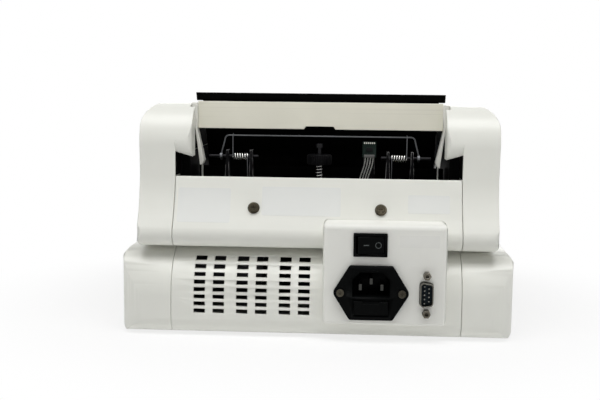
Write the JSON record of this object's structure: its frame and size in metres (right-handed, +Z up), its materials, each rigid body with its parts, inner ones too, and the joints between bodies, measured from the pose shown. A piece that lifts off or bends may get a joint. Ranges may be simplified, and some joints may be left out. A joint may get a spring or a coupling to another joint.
{
  "type": "banknote counter",
  "caption": "Desktop loose-note counter: stepped white casing, rear vents and connector box, rear window on a sprung pressure gear, leaning hopper, feed rollers, stacker and front keys.",
  "frame": {"origin": "On the table under the middle of the outline.", "axes": "X to the right when the rear is looked at, rear (connectors) towards -Y, operator's side towards +Y, Z up."},
  "size_m": [0.262, 0.236, 0.161],
  "materials": {
    "casing_white": "glossy off-white moulded plastic",
    "tray_grey": "grey painted sheet",
    "hopper_cream": "cream moulded plastic",
    "black_gloss": "glossy black plastic",
    "black_matte": "matt black plastic",
    "black_steel": "black painted sheet steel",
    "steel": "plain turned steel",
    "spring_wire": "bright drawn wire",
    "pulley_alu": "turned aluminium",
    "bronze": "dark bronze",
    "gold": "yellow chromate and gilt",
    "plated": "tin plate",
    "rubber_black": "black rubber",
    "rubber_amber": "amber rubber",
    "stacker_green": "green flexible plastic",
    "board_green": "green circuit board",
    "ribbon_grey": "pale cable sheath",
    "motor_grey": "dark grey paint",
    "lens_dark": "smoked window",
    "key_grey": "blue-grey soft keys",
    "insulator_teal": "dark teal insulator"
  },
  "bodies": {
    "chassis": {"base_rear_panel": "casing_white", "base_cap_left": "casing_white", "base_cap_right": "casing_white", "connector_box": "casing_white", "rear_cover": "casing_white", "head_cap_left": "casing_white", "head_cap_right": "casing_white", "front_fascia": "casing_white", "control_panel": "casing_white", "top_deck": "casing_white", "base_tray": "tray_grey", "hopper_cover": "hopper_cream", "hopper_cheeks": "hopper_cream", "hopper_rest": "black_gloss", "inlet_body": "black_gloss", "switch_body": "black_gloss", "feed_tray": "black_matte", "side_frames": "black_steel", "clevis_bracket": "black_steel", "frame_rods": "steel", "pivot_shafts": "steel", "adjust_spring": "spring_wire", "bushes": "bronze", "cover_screws": "bronze", "serial_pins": "gold", "serial_jackscrews": "gold", "serial_shell": "plated", "inlet_pins": "plated", "inlet_screws": "plated", "rubber_feet": "rubber_black", "drive_belt": "rubber_black", "timing_belt": "rubber_black", "sensor_board": "board_green", "key_board": "board_green", "main_board": "board_green", "ribbon_cable": "ribbon_grey", "drive_motor": "motor_grey", "display_lens": "lens_dark", "serial_insulator": "insulator_teal"},
    "feed": {"feed_shaft": "steel", "feed_rollers": "rubber_amber", "feed_pulleys": "pulley_alu"},
    "kicker": {"kicker_shaft": "steel", "kicker_rollers": "rubber_amber", "kicker_pulley": "pulley_alu"},
    "stacker": {"stacker_shaft": "steel", "stacker_wheels": "stacker_green", "stacker_pulley": "pulley_alu"},
    "motor_rotor": {"motor_pulley": "pulley_alu"},
    "bail": {"spring_bail": "spring_wire", "torsion_springs": "spring_wire"},
    "adjuster": {"adjust_screw": "steel", "adjust_knob": "black_matte"},
    "separator_block": {"separator": "rubber_black"},
    "rocker": {"switch_rocker": "black_gloss"},
    "fuse_holder": {"fuse_drawer": "black_gloss"},
    "key_cap_1": {"key_1": "key_grey"},
    "key_cap_2": {"key_2": "key_grey"},
    "key_cap_3": {"key_3": "key_grey"},
    "key_cap_4": {"key_4": "key_grey"}
  },
  "joints": [
    {"name": "feed_spin", "type": "hinge", "parent": "chassis", "child": "feed", "pos_m": [0, -0.012, 0.094], "axis": [1, 0, 0], "continuous": true},
    {"name": "kicker_spin", "type": "hinge", "parent": "chassis", "child": "kicker", "pos_m": [0, 0.024, 0.11], "axis": [1, 0, 0], "continuous": true},
    {"name": "stacker_spin", "type": "hinge", "parent": "chassis", "child": "stacker", "pos_m": [0, 0.024, 0.078], "axis": [1, 0, 0], "continuous": true},
    {"name": "motor_spin", "type": "hinge", "parent": "chassis", "child": "motor_rotor", "pos_m": [0, -0.03, 0.031], "axis": [1, 0, 0], "continuous": true},
    {"name": "bail_swing", "type": "hinge", "parent": "chassis", "child": "bail", "pos_m": [0, -0.06, 0.117], "axis": [1, 0, 0], "range_deg": [0, 20], "stiffness_Nm_per_rad": 0.05, "springref_deg": -17.19},
    {"name": "thickness_knob", "type": "hinge", "parent": "chassis", "child": "adjuster", "pos_m": [0, -0.06, 0.115], "axis": [0, 0, 1], "range_deg": [-180, 180]},
    {"name": "separator_lift", "type": "slide", "parent": "chassis", "child": "separator_block", "axis": [0, 0, 1], "range_m": [-0.0005, 0.0005]},
    {"name": "power_rocker", "type": "hinge", "parent": "chassis", "child": "rocker", "pos_m": [0.0355, -0.111, 0.065], "axis": [0, 0, -1], "range_deg": [0, 14]},
    {"name": "fuse_drawer_slide", "type": "slide", "parent": "chassis", "child": "fuse_holder", "axis": [0, -1, 0], "range_m": [0, 0.012]},
    {"name": "key_1_press", "type": "slide", "parent": "chassis", "child": "key_cap_1", "axis": [0, -0.9563, -0.2924], "range_m": [0, 0.0008], "stiffness_N_per_m": 300, "springref_m": -0.0005},
    {"name": "key_2_press", "type": "slide", "parent": "chassis", "child": "key_cap_2", "axis": [0, -0.9563, -0.2924], "range_m": [0, 0.0008], "stiffness_N_per_m": 300, "springref_m": -0.0005},
    {"name": "key_3_press", "type": "slide", "parent": "chassis", "child": "key_cap_3", "axis": [0, -0.9563, -0.2924], "range_m": [0, 0.0008], "stiffness_N_per_m": 300, "springref_m": -0.0005},
    {"name": "key_4_press", "type": "slide", "parent": "chassis", "child": "key_cap_4", "axis": [0, -0.9563, -0.2924], "range_m": [0, 0.0008], "stiffness_N_per_m": 300, "springref_m": -0.0005}
  ],
  "couplings": [
    {"joint": "kicker_spin", "follows": "feed_spin", "ratio": 1.2941},
    {"joint": "stacker_spin", "follows": "feed_spin", "ratio": 1},
    {"joint": "motor_spin", "follows": "feed_spin", "ratio": 1.75},
    {"joint": "thickness_knob", "follows": "separator_lift", "rad_per_m": 6283.2}
  ]
}
